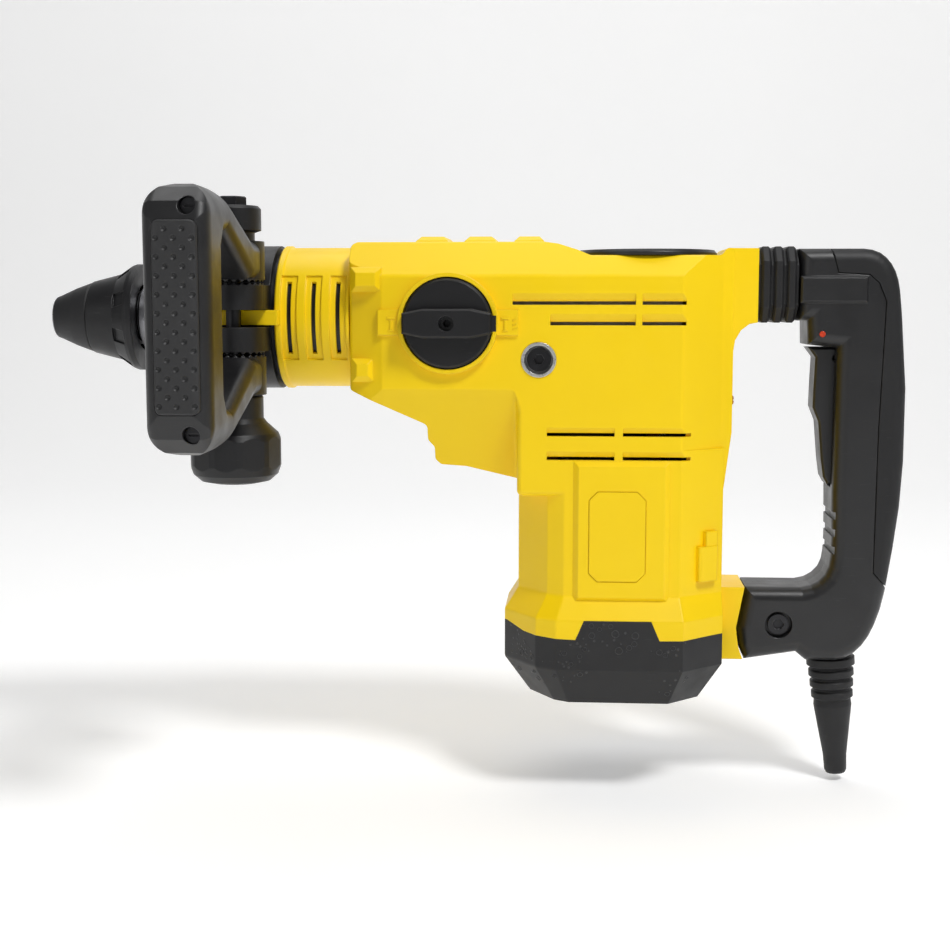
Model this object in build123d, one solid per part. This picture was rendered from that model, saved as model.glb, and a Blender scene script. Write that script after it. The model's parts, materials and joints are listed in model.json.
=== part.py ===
from build123d import *
import math
import os

os.makedirs("parts", exist_ok=True)

# Rotary hammer with an SDS-max holder, a vertical motor and a D side handle.
# Millimetres. X runs from the tool mouth to the rear handle and Z is up.
# The spindle axis is the X axis, and the mouth of the tool bore is at the origin.

# Tool holder and spindle
TOOL_R = 9.05
TOOL_DEPTH = 96.0
NOSE_R = 10.8
HOLDER_R = 12.4
SHOULDER_X = 52.0
SHOULDER_R = 18.0
CYLINDER_R = 17.2
CYLINDER_BORE = 14.5
CYLINDER_END = 292.0
RUNNING = 0.05
ROLLER_R = 2.8
ROLLER_OFFSET = 12.6
ROLLER_SPAN = (25.0, 33.0)
SLEEVE_FRONT = 22.2
SLEEVE_BACK = 50.5

# Barrel
BARREL_R = 35.5
BARREL_SPAN = (62.0, 176.8)
COLLAR_R = 38.8
COLLAR_RIM_R = 39.8
COLLAR_SPAN = (132.7, 173.3)
SLOT_X = (140.3, 153.7, 167.0)
SLOT_W = 2.4
SLOT_ANGLE = 31.0

# Main cover
WALL = 3.0
COVER_ROUND = 3.0
COVER_Y = 46.0
COVER_FRONT = 173.6
COVER_END = 393.5
FLARE_TOP = -149.0
FLARE_LOW = -161.0
CAP_EDGE = -188.0
CAP_FLOOR = -208.2
RIDGES = ((208.6, 226.0), (235.0, 252.0), (262.0, 278.0))
RIDGE_H = 3.0
KNOB_X = 227.6
KNOB_Z = -2.6
KNOB_R = 23.8
BUSH_X = 276.0
BUSH_Z = -21.9
BUSH_R = 9.3
BUSH_BORE = 7.7
DIAL_X = 375.0
DIAL_Z = -45.5
DIAL_R = 8.2

# Gear train: armature pinion, crank gear, intermediate gear and bevel pair
MODULE = 1.25
PINION_TEETH = 9
CRANK_TEETH = 40
MIDDLE_TEETH = 30
BEVEL_MODULE = 1.8
BEVEL_PINION_TEETH = 12
BEVEL_RING_TEETH = 28
CRANK_X = 334.0
MOTOR_X = CRANK_X - MODULE * (PINION_TEETH + CRANK_TEETH) / 2
MIDDLE_X = MOTOR_X - MODULE * (PINION_TEETH + MIDDLE_TEETH) / 2
GEAR_Z = (-40.0, -32.0)
BEVEL_FACE = 7.0
BEVEL_RIM = 0.4
BEVEL_TIP = 0.75 * BEVEL_MODULE
BEVEL_ROOT = 1.0 * BEVEL_MODULE
BEVEL_SINK = 1.35 * BEVEL_MODULE
CRANK_THROW = 12.0
CRANK_R = 22.0
PISTON_SPAN = (232.0, 262.0)
WRIST_X = 254.0
STRIKER_SPAN = (176.0, 206.0)

# Motor
CORE_Z = (-140.0, -85.0)
CORE_R = 24.6
STATOR_R = 35.0
FAN_Z = (-76.0, -62.0)
COMMUTATOR_Z = (-174.0, -156.0)
COMMUTATOR_R = 15.0
BRUSH_Z = -165.0

# Side handle
BOLT_X = 113.5
BOLT_Y = -52.0
BOLT_R = 4.0
HUB_R = 17.0
HUB_Z = (20.3, 40.5)
LUG_Z = (4.7, 17.6)
INDEX_TEETH = 24
INDEX_H = 1.1
GRIP_HALF = 16.0
GRIP_OUT = -171.0
GRIP_END = 64.0
GRIP_CORNER = 15.5
GRIP_ROUND = 10.0
GRIP_PROUD = 0.8

# Rear handle
HANDLE_Y = 20.5
HANDLE_WALL = 3.2
HANDLE_ROUND = 7.0
SEAM = 0.6
SEAM_DEPTH = 1.0
GROOVE_X = 438.2
PIVOT_X = 408.4
PIVOT_Z = -168.6
TRIGGER_Y = 10.0
TRIGGER_PIVOT = (437.5, -22.0)
FAR = 300.0


def block(x, y, z):
    """Box between three (low, high) pairs."""
    centre = [(low + high) / 2 for low, high in (x, y, z)]
    size = [high - low for low, high in (x, y, z)]
    return Pos(*centre) * Box(*size)


def rod_x(radius, x, y=0.0, z=0.0):
    """Cylinder along X."""
    return Pos((x[0] + x[1]) / 2, y, z) * Rot(0, 90, 0) * Cylinder(radius, x[1] - x[0])


def rod_y(radius, y, x, z):
    """Cylinder along Y."""
    return Pos(x, (y[0] + y[1]) / 2, z) * Rot(90, 0, 0) * Cylinder(radius, y[1] - y[0])


def rod_z(radius, z, x, y=0.0):
    """Cylinder along Z."""
    return Pos(x, y, (z[0] + z[1]) / 2) * Cylinder(radius, z[1] - z[0])


def outline(points, inset):
    """Flat face through 3-D points, drawn in by the inset."""
    face = make_face(Polyline(*points, close=True))
    if inset:
        face = offset(face, amount=-inset, kind=Kind.INTERSECTION)
    return face


def side_plate(points, y, inset=0.0):
    """Plate with an (x, z) outline."""
    face = outline([(px, y[0], pz) for px, pz in points], inset)
    return extrude(face, amount=y[1] - y[0], dir=(0, 1, 0))


def section_bar(points, x, inset=0.0):
    """Bar along X with a (y, z) outline."""
    face = outline([(x[0], py, pz) for py, pz in points], inset)
    return extrude(face, amount=x[1] - x[0], dir=(1, 0, 0))


def plan_column(points, z, inset=0.0):
    """Column with an (x, y) outline."""
    face = outline([(px, py, z[0]) for px, py in points], inset)
    return extrude(face, amount=z[1] - z[0], dir=(0, 0, 1))


def taper_column(low, high, z, inset=0.0):
    """Column whose (x, y) outline changes evenly from low to high."""
    first = outline([(px, py, z[0]) for px, py in low], inset)
    last = outline([(px, py, z[1]) for px, py in high], inset)
    return loft([first, last], ruled=True)


def turned_x(points):
    """Solid of (x, radius) points turned about the spindle axis."""
    face = make_face(Polyline(*[(px, 0, pr) for px, pr in points], close=True))
    return revolve(face, axis=Axis.X)


def turned_z(points, x, y=0.0):
    """Solid of (radius, z) points turned about an upright axis."""
    face = make_face(Polyline(*[(x + pr, y, pz) for pr, pz in points], close=True))
    return revolve(face, axis=Axis((x, y, 0), (0, 0, 1)))


def mirrored(points):
    """Closed outline from its half with the second coordinate positive."""
    return points + [(a, -b) for a, b in reversed(points)]


def mirrored_first(points):
    """Closed outline from its half with the first coordinate positive."""
    return points + [(-a, b) for a, b in reversed(points)]


def gear_blank(teeth, module, z, first_angle):
    """Spur gear about the Z axis with involute flanks and a little backlash."""
    pitch_r = module * teeth / 2
    base_r = pitch_r * math.cos(math.radians(20))
    tip_r = pitch_r + 0.9 * module
    root_r = pitch_r - 1.2 * module
    half = math.pi / (2 * teeth) * 0.88
    pitch_inv = math.tan(math.radians(20)) - math.radians(20)
    start_r = max(base_r, root_r + 0.1)
    flank = []
    steps = 4
    for step in range(steps + 1):
        radius = start_r + (tip_r - start_r) * step / steps
        pressure = math.acos(min(1.0, base_r / radius))
        turn = half + pitch_inv - (math.tan(pressure) - pressure)
        flank.append((radius, turn))
    points = []
    for tooth in range(teeth):
        middle = math.radians(first_angle) + 2 * math.pi * tooth / teeth
        gap = middle - math.pi / teeth
        points.append((root_r * math.cos(gap), root_r * math.sin(gap)))
        foot = middle - flank[0][1]
        points.append((root_r * math.cos(foot), root_r * math.sin(foot)))
        for radius, turn in flank:
            points.append((radius * math.cos(middle - turn), radius * math.sin(middle - turn)))
        for radius, turn in reversed(flank):
            points.append((radius * math.cos(middle + turn), radius * math.sin(middle + turn)))
        foot = middle + flank[0][1]
        points.append((root_r * math.cos(foot), root_r * math.sin(foot)))
    return plan_column(points, z)


def bevel_tooth(apex, along, outward):
    """One straight bevel tooth: along is the pitch line and outward points off the gear."""
    across = along.cross(outward)
    half = math.pi * BEVEL_MODULE / 4 * 0.82
    slope = math.tan(math.radians(20))
    ends = []
    for reach in (bevel_length(), bevel_length() - BEVEL_FACE):
        scale = reach / bevel_length()
        corners = []
        for height, side in ((-BEVEL_SINK, -1), (-BEVEL_SINK, 1), (BEVEL_TIP, 1), (BEVEL_TIP, -1)):
            width = half - height * slope
            shift = outward * (height * scale) + across * (width * side * scale)
            corners.append(apex + along * reach + shift)
        ends.append(corners)
    outer, inner = ends
    walls = [outer, inner]
    for n in range(4):
        after = (n + 1) % 4
        walls.append([outer[n], outer[after], inner[after], inner[n]])
    faces = [make_face(Polyline(*wall, close=True)).face() for wall in walls]
    return Solid(Shell(faces))


def root_point(along, outward, reach):
    """Point of the root cone below the pitch line, measured from the apex."""
    return along * reach - outward * (BEVEL_ROOT * reach / bevel_length())


def bevel_length():
    """Length of the pitch line from the apex."""
    ring = BEVEL_MODULE * BEVEL_RING_TEETH / 2
    pinion = BEVEL_MODULE * BEVEL_PINION_TEETH / 2
    return math.hypot(ring, pinion)


def bevel_teeth(teeth, first_angle, axis, along, outward):
    """All the teeth of one bevel gear, turned about its axis."""
    apex = Vector(MIDDLE_X, 0, 0)
    tooth = bevel_tooth(apex, along, outward)
    line = Axis((MIDDLE_X, 0, 0), axis)
    turned = [tooth.rotate(line, first_angle + 360 * n / teeth) for n in range(teeth)]
    return turned


def spring_x(radius, wire, x, turns):
    """Coil spring about the spindle axis."""
    pitch = (x[1] - x[0] - 2 * wire) / turns
    path = Pos(x[0] + wire, 0, 0) * Rot(0, 90, 0) * Helix(pitch, pitch * turns, radius)
    start = path @ 0
    heading = path % 0
    profile = Plane(origin=start, z_dir=heading) * Circle(wire)
    return sweep(profile, path=path)


# ---------------------------------------------------------------- outlines

UPPER_SIDE = [
    (173.6, -38.5), (173.6, 39.2), (177.0, 41.0), (278.0, 41.0), (286.0, 39.8),
    (296.0, 36.5), (303.0, 33.5), (373.0, 33.5), (376.0, 37.5), (393.5, 37.5),
    (393.5, -2.4), (389.0, -3.2), (384.5, -6.6), (381.4, -12.0), (380.5, -18.0),
    (380.5, -62.0), (376.0, -95.0), (264.5, -95.0), (264.5, -88.0), (236.0, -81.0),
    (222.0, -80.0), (219.0, -77.0), (219.0, -70.0), (215.5, -66.0), (215.5, -58.0),
    (213.0, -56.5),
]
UPPER_PLAN = mirrored([
    (173.6, 39.0), (192.0, 46.0), (352.0, 46.0), (374.0, 27.0), (380.0, 22.5), (393.5, 21.0),
])
FRONT_SECTION = mirrored_first([(20.0, -95.0), (46.0, -38.0), (46.0, 22.5), (28.0, 41.0)])
REAR_SECTION = mirrored_first([(46.0, -95.0), (46.0, 22.5), (28.0, 41.0)])
COLUMN = mirrored([
    (264.5, 20.0), (281.0, 41.0), (290.0, 46.0), (352.0, 46.0), (376.0, 28.0),
])
SKIRT = mirrored([
    (257.0, 22.0), (275.0, 47.5), (286.0, 53.5), (354.0, 53.5), (376.5, 33.0),
])
CAP_PLAN = mirrored([
    (271.0, 17.0), (285.0, 39.0), (293.0, 44.0), (347.0, 44.0), (364.0, 27.0),
])
CAP_LINE = [
    (240.0, -166.5), (258.5, -167.0), (268.0, -170.2), (296.5, -171.5), (301.0, -161.0),
    (337.0, -161.0), (341.5, -171.5), (369.0, -171.0), (400.0, -171.0),
    (400.0, -230.0), (240.0, -230.0),
]
BRACKET = [
    (368.0, -148.0), (389.5, -148.0), (385.2, -171.0), (386.5, -181.0),
    (389.0, -188.5), (368.0, -188.5),
]
HANDLE = [
    (415.5, 37.3), (450.0, 37.3), (454.6, 36.7), (458.8, 35.1), (462.2, 32.5),
    (465.0, 29.2), (467.2, 25.2), (468.8, 20.6), (469.9, 15.0), (471.4, 1.0),
    (473.0, -20.0), (474.4, -38.0), (474.4, -78.0), (473.0, -103.0), (470.2, -126.0),
    (466.6, -150.0), (464.4, -160.0), (461.4, -169.0), (458.4, -175.4), (454.8, -180.8),
    (450.6, -185.0), (445.6, -187.9), (440.0, -189.2), (424.0, -189.2), (418.5, -184.6),
    (390.2, -189.2), (387.4, -181.0), (386.1, -171.0), (390.4, -148.4), (421.0, -148.4),
    (426.2, -147.2), (430.4, -144.8), (433.8, -141.2), (435.7, -136.8), (436.5, -131.4),
    (436.8, -122.0), (436.2, -95.0), (436.8, -16.0), (421.0, -14.4), (420.6, -1.4),
    (415.5, -1.4),
]
PAD = [
    (432.0, 60.0), (432.0, 37.3), (435.8, 24.0), (452.5, 23.0), (457.4, 18.6),
    (461.4, 9.0), (460.2, -30.0), (459.2, -60.0), (458.6, -139.0), (470.5, -152.0),
    (500.0, -152.0), (500.0, 60.0),
]


# ---------------------------------------------------------------- main cover

def upper_form(inset):
    """Gear end of the cover."""
    side = side_plate(UPPER_SIDE, (-FAR, FAR), inset)
    plan = plan_column(UPPER_PLAN, (-FAR, FAR), inset)
    front = section_bar(FRONT_SECTION, (150.0, 264.5 + inset), inset)
    rear = section_bar(REAR_SECTION, (264.5 + inset, 420.0), inset)
    return side & plan & (front + rear)


def motor_form(inset):
    """Motor end of the cover, with its flared skirt and the cap's taper."""
    column = plan_column(COLUMN, (FLARE_TOP, -70.0), inset)
    flare = taper_column(SKIRT, COLUMN, (FLARE_LOW, FLARE_TOP), inset)
    skirt = plan_column(SKIRT, (CAP_EDGE, FLARE_LOW), inset)
    cap = taper_column(CAP_PLAN, SKIRT, (CAP_FLOOR + inset, CAP_EDGE), inset)
    return column + flare + skirt + cap


def rounded(form, longer_than, before=FAR):
    """Moulded form with its longer edges rounded."""
    edges = [e for e in form.edges() if e.length > longer_than and e.center().X < before]
    return fillet(edges, COVER_ROUND)


def motor_shape():
    """Outside of the motor end."""
    return rounded(motor_form(0.0), 6.0)


def name_panel(side):
    """Raised panel on one side of the motor column."""
    flat = block((295.0, 346.0), (COVER_Y - 4, COVER_Y + 2.8), (-152.0, -76.0))
    edges = flat.faces().sort_by(Axis.Y)[-1].edges()
    return flip_side(chamfer(edges, 2.6), side)


def flip_side(solid, side):
    """Mirror a solid drawn for the +Y side to the side asked for."""
    return solid if side > 0 else solid.mirror(Plane.XZ)


def cover_lugs(side):
    """Two clip lugs, the knob's mark pads and the brush cover's catch."""
    upper = block((175.5, 192.0), (36.0, 48.0), (14.0, 27.0))
    lower = block((175.5, 187.5), (36.0, 46.5), (-34.0, -21.5))
    lugs = chamfer(upper.edges().group_by(Axis.Y)[-1], 3.0)
    lugs += chamfer(lower.edges().group_by(Axis.Y)[-1], 3.0)
    return flip_side(lugs, side)


def cover_body():
    """Whole cover before it is split into halves."""
    body = rounded(upper_form(0.0), 50.0, 378.0) + motor_shape()
    for low, high in RIDGES:
        rib = section_bar(
            mirrored_first([(30.0, 36.0), (24.0, 41.0 + RIDGE_H)]), (low, high)
        )
        ends = rib.faces().sort_by(Axis.Z)[-1].edges()
        body += chamfer(ends, 2.6)
    for side in (1, -1):
        body += name_panel(side)
        body += cover_lugs(side)
    body += side_plate(BRACKET, (-19.5, 19.5))
    body += rod_y(26.8, (-49.6, -40.0), KNOB_X, KNOB_Z)
    for low, high in ((190.0, 204.0), (251.0, 265.0)):
        body += block((low, high), (-47.4, -44.0), (-9.0, 4.5))
    body -= upper_form(WALL) + motor_form(WALL)
    return body


def louvre(x, z_top, z_slit, side):
    """Sloping louvre face with a slit along its lower edge."""
    face = section_bar(
        [(47.0, z_top), (47.0, z_slit), (43.4, z_slit)], x
    )
    slit = block(x, (40.0, 47.0), (z_slit, z_slit + 1.8))
    return flip_side(face + slit, side)


def cover_openings():
    """Everything cut through the cover."""
    cuts = rod_x(BARREL_R + 0.1, (160.0, 190.0))
    cuts += rod_z(26.6, (20.0, 60.0), CRANK_X)
    cuts += rod_z(38.9, (33.5, 60.0), CRANK_X)
    cuts += rod_y(24.5, (-60.0, -40.0), KNOB_X, KNOB_Z)
    cuts += rod_x(9.0, (380.0, 400.0), 0, 18.0)
    cuts += block((366.0, 390.0), (-3.6, 3.6), (DIAL_Z - 10, DIAL_Z + 10))
    for side in (1, -1):
        cuts += rod_y(BUSH_R, sorted((side * 30.0, side * 60.0)), BUSH_X, BUSH_Z)
        for span in ((262.0, 327.0), (330.5, 353.6)):
            cuts += louvre(span, 15.4, 7.2, side)
        for span in ((282.0, 327.0), (330.5, 353.6)):
            cuts += louvre(span, 4.6, -3.6, side)
        for span in ((280.5, 316.5), (321.0, 357.0)):
            cuts += louvre(span, -56.2, -62.6, side)
            cuts += louvre(span, -69.0, -75.4, side)
        plate = block((303.2, 333.6), (48.3, 60.0), (-140.5, -91.8))
        cuts += flip_side(chamfer(plate.edges().filter_by(Axis.Y), 4.6), side)
    for side in (1, -1):
        cuts += brush_cover(side)
        cuts += Pos(271.5, side * 29.0, -92.5) * Rot(0, 0, side * 52) * Box(7.5, 14, 4.6)
    cuts += side_plate(CAP_LINE, (-FAR, FAR))
    return cuts


def housing_posts():
    """Posts that carry the gear housing inside the cover."""
    posts = None
    for x in (200.0, 300.0, 345.0):
        for side in (1, -1):
            post = rod_y(5.0, sorted((side * 36.0, side * 43.5)), x, -30.0 if x > 210 else -12.0)
            posts = post if posts is None else posts + post
    return posts


def cover_half(whole, side):
    """One half of the split cover."""
    return whole & block((150.0, 420.0), sorted((0.0, side * 90.0)), (-240.0, 90.0))


def motor_cap():
    """Black cap under the motor, with a tongue up each side."""
    shell = motor_shape() - motor_form(WALL)
    cap = shell & side_plate(CAP_LINE, (-FAR, FAR))
    cap += plan_column(CAP_PLAN, (CAP_FLOOR, CAP_FLOOR + WALL))
    cap -= block((366.0, 400.0), (-20.0, 20.0), (-190.0, -160.0))
    for n in range(5):
        x = 296.0 + 12.0 * n
        cap -= block((x, x + 4.0), (-26.0, 26.0), (CAP_FLOOR - 1, CAP_FLOOR + WALL + 1))
    seat = rod_z(15.0, (CAP_FLOOR + WALL - 0.5, -190.0), MOTOR_X)
    return cap + (seat - rod_z(11.0, (CAP_FLOOR + WALL, -180.0), MOTOR_X))


def nameplate():
    """Blank chamfered plate let into the side panel."""
    plate = block((303.4, 333.4), (48.3, 49.2), (-140.3, -92.0))
    return flip_side(chamfer(plate.edges().filter_by(Axis.Y), 4.5), -1)


def crank_cap():
    """Round cap over the crank chamber."""
    lid = turned_z([(0, 33.6), (38.6, 33.6), (38.6, 35.2), (37.2, 36.8), (0, 36.8)], CRANK_X)
    plug = rod_z(25.3, (27.0, 33.7), CRANK_X)
    return lid + plug


def side_bush(side):
    """Steel ring in the screw well."""
    ring = rod_y(BUSH_R, (36.2, 46.6), BUSH_X, BUSH_Z)
    ring -= rod_y(BUSH_BORE, (30.0, 60.0), BUSH_X, BUSH_Z)
    return flip_side(ring, side)


def cover_screw(side):
    """Socket screw at the bottom of the well, into the gear housing."""
    head = rod_y(6.4, (36.0, 41.0), BUSH_X, BUSH_Z)
    shank = rod_y(2.9, (31.0, 36.2), BUSH_X, BUSH_Z)
    socket = Pos(BUSH_X, 41.0, BUSH_Z) * Rot(90, 0, 0) * extrude(RegularPolygon(2.9, 6), 3, both=True)
    return flip_side(head + shank - socket, side)


def brush_cover(side):
    """Small removable cover beside a motor brush."""
    pad = Pos(367.0, 35.6, -132.0) * Rot(0, 0, -37) * Box(13.0, 5.0, 19.0)
    lug = Pos(368.5, 34.0, -118.5) * Rot(0, 0, -37) * Box(8.0, 4.4, 8.0)
    pad = chamfer(pad.edges().filter_by(Axis.Z), 1.0)
    return flip_side(pad + lug, side)


# ---------------------------------------------------------------- barrel

def barrel_housing():
    """Front tube that the side handle clamps on."""
    low, high = BARREL_SPAN
    return turned_x([
        (low, 22.6), (low, 28.0), (low + 4, 31.0), (low + 14, BARREL_R), (high, BARREL_R),
        (high, 28.0), (84.0, 28.0), (84.0, 27.0), (70.0, 27.0), (70.0, 22.6),
    ])


def front_bearing():
    """Sleeve bearing that carries the spindle."""
    bore = SHOULDER_R + RUNNING
    return turned_x([(70.0, bore), (70.0, 27.0), (84.0, 27.0), (84.0, bore)])


def barrel_collar():
    """Slotted collar behind the clamp, with its anti-turn key."""
    low, high = COLLAR_SPAN
    collar = turned_x([
        (low, BARREL_R + 0.3), (low, COLLAR_RIM_R - 0.8), (low + 0.8, COLLAR_RIM_R),
        (low + 3.4, COLLAR_RIM_R), (low + 4.2, COLLAR_R), (high, COLLAR_R),
        (high, BARREL_R + 0.3),
    ])
    for x in SLOT_X:
        groove = tube_x((x - 4.4, x + 4.4), COLLAR_R - 1.0, COLLAR_R + 5)
        collar -= groove & side_wedges(SLOT_ANGLE + 5)
        slot = tube_x((x - SLOT_W / 2, x + SLOT_W / 2), BARREL_R, COLLAR_R + 5)
        collar -= slot & side_wedges(SLOT_ANGLE)
    key = block((101.5, low + 3), (-45.6, -BARREL_R - 0.5), (-3.7, 4.3))
    web = plan_column([(low, -45.6), (low + 3.4, -COLLAR_R), (low + 3.4, -36), (122, -38), (122, -45.6)],
                      (-3.7, 4.3))
    return collar + (key + web - rod_x(BARREL_R + 0.3, (90.0, 190.0)))


def tube_x(x, inner, outer):
    """Ring about the spindle axis."""
    return rod_x(outer, x) - rod_x(inner, (x[0] - 1, x[1] + 1))


def side_wedges(angle):
    """Two wedges that hold both sides of the barrel within the angle from level."""
    reach = 60.0
    rise = reach * math.tan(math.radians(angle))
    wedge = section_bar([(0, 0), (reach, rise), (reach, -rise)], (120.0, 180.0))
    return wedge + wedge.mirror(Plane.XZ)


# ---------------------------------------------------------------- spindle

def spindle():
    """Tool holder and hammer cylinder in one."""
    body = turned_x([
        (0, TOOL_R), (0, NOSE_R), (9.0, NOSE_R), (9.0, HOLDER_R), (SHOULDER_X, HOLDER_R),
        (SHOULDER_X, SHOULDER_R), (100.0, SHOULDER_R), (100.0, CYLINDER_R),
        (CYLINDER_END, CYLINDER_R), (CYLINDER_END, CYLINDER_BORE), (112.0, CYLINDER_BORE),
        (112.0, 8.06), (TOOL_DEPTH, 8.06), (TOOL_DEPTH, TOOL_R),
    ])
    for side in (1, -1):
        body -= rod_x(ROLLER_R + 0.1, (ROLLER_SPAN[0] - 0.3, ROLLER_SPAN[1] + 0.3),
                      side * ROLLER_OFFSET)
    return body


def dust_cap():
    """Rubber cap on the nose."""
    return turned_x([
        (0.5, NOSE_R), (0.7, 11.5), (3.3, 12.5), (12.0, 16.4), (21.0, 19.6), (21.9, 19.3),
        (21.9, HOLDER_R), (9.0, HOLDER_R), (9.0, NOSE_R),
    ])


def locking_roller(side):
    """Roller that locks the tool shank."""
    return rod_x(ROLLER_R, ROLLER_SPAN, side * ROLLER_OFFSET)


def lock_sleeve():
    """Sleeve pulled back to free the tool, with gripping notches."""
    sleeve = turned_x([
        (SLEEVE_FRONT, 16.4), (SLEEVE_FRONT, 20.3), (38.4, 24.4), (45.5, 29.2),
        (47.5, 29.9), (SLEEVE_BACK, 29.9), (SLEEVE_BACK, 18.5), (39.0, 18.5),
        (39.0, HOLDER_R + 0.3), (36.0, HOLDER_R + 0.3), (36.0, 16.4),
    ])
    for n in range(8):
        notch = Pos(41.5, 0, 27.4) * Rot(0, -35, 0) * Box(9.0, 8.0, 4.0)
        sleeve -= notch.rotate(Axis.X, 22.5 + 45 * n)
    return sleeve


def ring_gear():
    """Bevel ring fixed on the cylinder."""
    pitch = BEVEL_MODULE * BEVEL_RING_TEETH / 2
    depth = BEVEL_MODULE * BEVEL_PINION_TEETH / 2
    along = Vector(-depth, 0, -pitch).normalized()
    outward = Vector(pitch, 0, -depth).normalized()
    outer = root_point(along, outward, bevel_length() + BEVEL_RIM)
    inner = root_point(along, outward, bevel_length() - BEVEL_FACE - BEVEL_RIM)
    blank = turned_x([
        (262.0, CYLINDER_R), (262.0, -outer.Z - 3.0), (MIDDLE_X + outer.X - 3.0, -outer.Z),
        (MIDDLE_X + outer.X, -outer.Z), (MIDDLE_X + inner.X, -inner.Z),
        (MIDDLE_X + inner.X, CYLINDER_R),
    ])
    half_pitch = 180 / BEVEL_RING_TEETH
    teeth = bevel_teeth(BEVEL_RING_TEETH, half_pitch, (1, 0, 0), along, outward)
    return blank.fuse(*teeth) - rod_x(CYLINDER_R, (250.0, 290.0))


# ---------------------------------------------------------------- hammer drive

def piston():
    """Hollow driving piston."""
    low, high = PISTON_SPAN
    body = rod_x(CYLINDER_BORE - RUNNING, (low, high))
    body -= block((low + 12, high + 1), (-16, 16), (-5.0, 5.0)) & rod_x(11.5, (low + 12, high + 1))
    body -= rod_y(4.0, (-20, 20), WRIST_X, 0)
    ring = tube_x((low + 4, low + 6), 13.4, 16)
    return body - ring



def wrist_pin():
    """Pin between the piston and its rod."""
    return rod_y(4.0, (-12.4, 12.4), WRIST_X, 0)


def connecting_rod():
    """Rod from the wrist pin to the crank pin."""
    crank = CRANK_X - CRANK_THROW
    rod = rod_z(9.2, (-4.0, 4.0), crank) + rod_y(7.0, (-5.0, 5.0), WRIST_X, 0)
    rod &= block((200, 400), (-12, 12), (-4.6, 4.6))
    rod += block((WRIST_X, crank), (-4.5, 4.5), (-3.0, 3.0))
    rod -= rod_y(4.0, (-20, 20), WRIST_X, 0)
    return rod - rod_z(5.0, (-20, 20), crank)


def crank_pin():
    """Eccentric pin through the rod's big end."""
    crank = CRANK_X - CRANK_THROW
    return rod_z(5.0, (-11.6, 5.4), crank) + rod_z(7.0, (4.0, 5.4), crank)


def striker():
    """Free striker in the cylinder."""
    low, high = STRIKER_SPAN
    r = CYLINDER_BORE - RUNNING
    return turned_x([
        (low, 0), (low, 7.5), (low + 8, 8.5), (low + 8, r), (low + 18, r), (low + 18, 13.4),
        (low + 20.5, 13.4), (low + 20.5, r), (high, r), (high, 0),
    ])


def impact_bolt():
    """Bolt that passes the blow to the tool shank."""
    return turned_x([
        (100.0, 0), (100.0, 7.2), (101.0, 8.0), (120.0, 8.0), (122.0, 14.2), (134.0, 14.2),
        (137.0, 7.5), (156.0, 7.0), (156.0, 0),
    ])


def armature_shaft():
    """Motor shaft with the pinion cut on its end."""
    pinion = gear_blank(PINION_TEETH, MODULE, (GEAR_Z[0] - 2, GEAR_Z[1] + 2), 0.0)
    shaft = rod_z(3.9, (-48.0, GEAR_Z[0] - 2), 0) + rod_z(6.0, (-188.0, -48.0), 0)
    shaft += rod_z(4.5, (-200.0, -188.0), 0)
    return Pos(MOTOR_X, 0, 0) * (pinion + shaft)


def armature_core():
    """Slotted lamination stack with its end windings."""
    low, high = CORE_Z
    core = rod_z(CORE_R, CORE_Z, 0)
    slot = block((CORE_R - 7, CORE_R + 1), (-1.1, 1.1), (low - 1, high + 1))
    for n in range(12):
        core -= slot.rotate(Axis.Z, 30 * n)
    core += rod_z(17.5, (low - 9, low), 0) + rod_z(17.5, (high, high + 7), 0)
    return Pos(MOTOR_X, 0, 0) * (core - rod_z(6.0, (-220, 0), 0))


def commutator():
    """Segmented copper commutator."""
    low, high = COMMUTATOR_Z
    drum = rod_z(COMMUTATOR_R, COMMUTATOR_Z, 0)
    groove = block((COMMUTATOR_R - 0.9, COMMUTATOR_R + 1), (-0.25, 0.25), (low - 1, high - 3))
    for n in range(20):
        drum -= groove.rotate(Axis.Z, 18 * n)
    return Pos(MOTOR_X, 0, 0) * (drum - rod_z(6.0, (-220, 0), 0))


def fan():
    """Cooling fan with radial blades."""
    low, high = FAN_Z
    disc = rod_z(33.0, (high - 2, high), 0) + rod_z(10.0, FAN_Z, 0)
    for n in range(11):
        blade = block((9.0, 32.5), (-0.8, 0.8), (low, high - 1)).rotate(Axis((20, 0, 0), (0, 0, 1)), 25)
        disc += blade.rotate(Axis.Z, 360 / 11 * n)
    return Pos(MOTOR_X, 0, 0) * (disc - rod_z(6.0, (-220, 0), 0))


def stator():
    """Field ring with two poles."""
    low, high = CORE_Z
    ring = rod_z(STATOR_R, (low + 2, high - 2), 0) - rod_z(CORE_R + 0.6, (-220, 0), 0)
    for side in (1, -1):
        for turn in (1, -1):
            pocket = block((side * 4 - 3, side * 4 + 3), (26.5, 31.5), (low, high))
            ring -= pocket.rotate(Axis.Z, 0 if turn > 0 else 180)
    return Pos(MOTOR_X, 0, 0) * ring


def shaft_bearing(z, radius, inner):
    """Ball bearing, drawn as one grooved ring."""
    ring = rod_z(radius, z, MOTOR_X) - rod_z(inner + RUNNING, (-220, 0), MOTOR_X)
    groove = rod_z(radius - 2.4, (z[1] - 0.7, z[1] + 1), MOTOR_X)
    groove -= rod_z(inner + 2.4, (-220, 0), MOTOR_X)
    return ring - groove


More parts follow.
